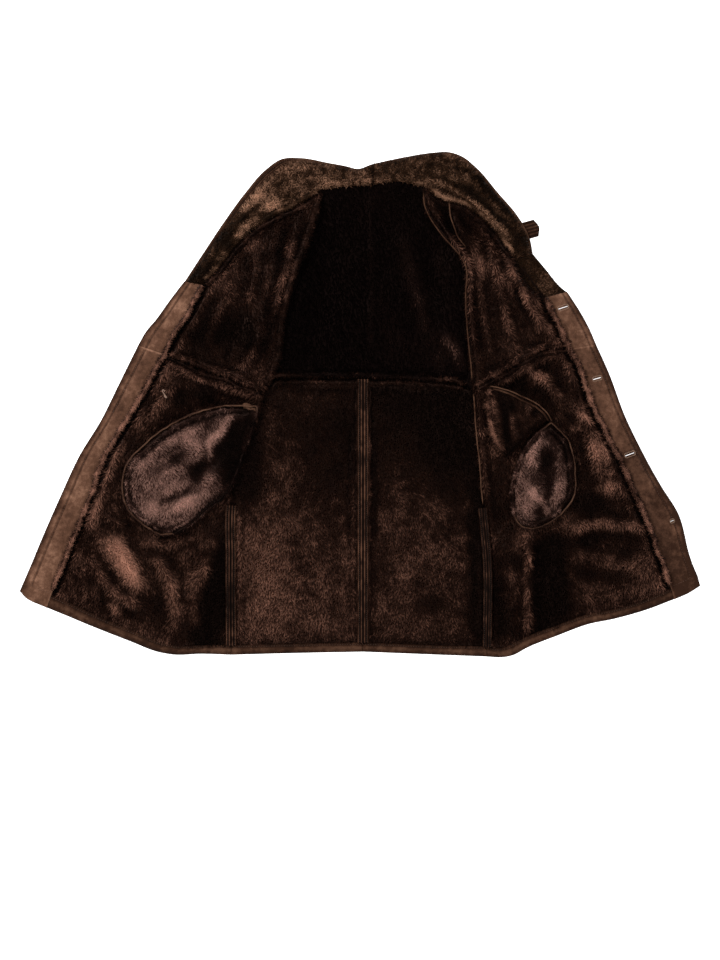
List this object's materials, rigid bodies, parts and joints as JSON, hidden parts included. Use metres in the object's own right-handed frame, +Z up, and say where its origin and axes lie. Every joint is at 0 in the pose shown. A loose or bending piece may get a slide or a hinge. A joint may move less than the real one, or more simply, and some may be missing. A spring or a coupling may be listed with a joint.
{
  "type": "shearling coat, opened out flat with the fur side up",
  "caption": "Half-length shearling coat lying open with its fur side up: fur-lined panels, curly collar, suede facings with buttonholes, pocket bags and bound hem.",
  "frame": {"origin": "under the middle of the coat's box, on the plane it lies on", "axes": "+Z up from the plane, out of the fur side; +Y towards the neck; +X towards the wearer's left front, which has the buttonholes"},
  "size_m": [1.1236, 0.8333, 0.0383],
  "materials": {
    "fur": "clipped dark chocolate shearling pile, silky",
    "bag_fur": "clipped shearling pile, a little greyer, silky",
    "collar_fur": "curly teddy pile, olive brown, matt",
    "suede": "brown suede, matt with soft mottling",
    "tape": "dark brown suede tape with rows of stitching",
    "button": "dark brown horn-like button"
  },
  "bodies": {
    "root": {"back_upper": "fur", "back_lower_left": "fur", "back_lower_right": "fur", "front_upper_left": "fur", "front_upper_right": "fur", "front_lower_left": "fur", "front_lower_right": "fur", "bag_right_under": "bag_fur", "bag_right_top": "bag_fur", "bag_left_under": "bag_fur", "bag_left_top": "bag_fur", "bag_left_neck": "bag_fur", "collar_fur_left": "collar_fur", "collar_fur_right": "collar_fur", "lapel_left": "collar_fur", "collar_under_left": "suede", "collar_under_right": "suede", "facing_upper_left": "suede", "facing_upper_right": "suede", "facing_lower_left": "suede", "facing_lower_right": "suede", "hem_front_left": "suede", "hem_front_right": "suede", "hem_back_left": "suede", "hem_back_right": "suede", "throat_strap": "suede", "sleeve_left_top": "suede", "sleeve_left_under": "suede", "sleeve_right_top": "suede", "sleeve_right_under": "suede", "tape_centre": "tape", "tape_side_left": "tape", "tape_side_right": "tape", "button_1": "button", "button_2": "button", "button_3": "button", "button_4": "button"}
  },
  "joints": []
}
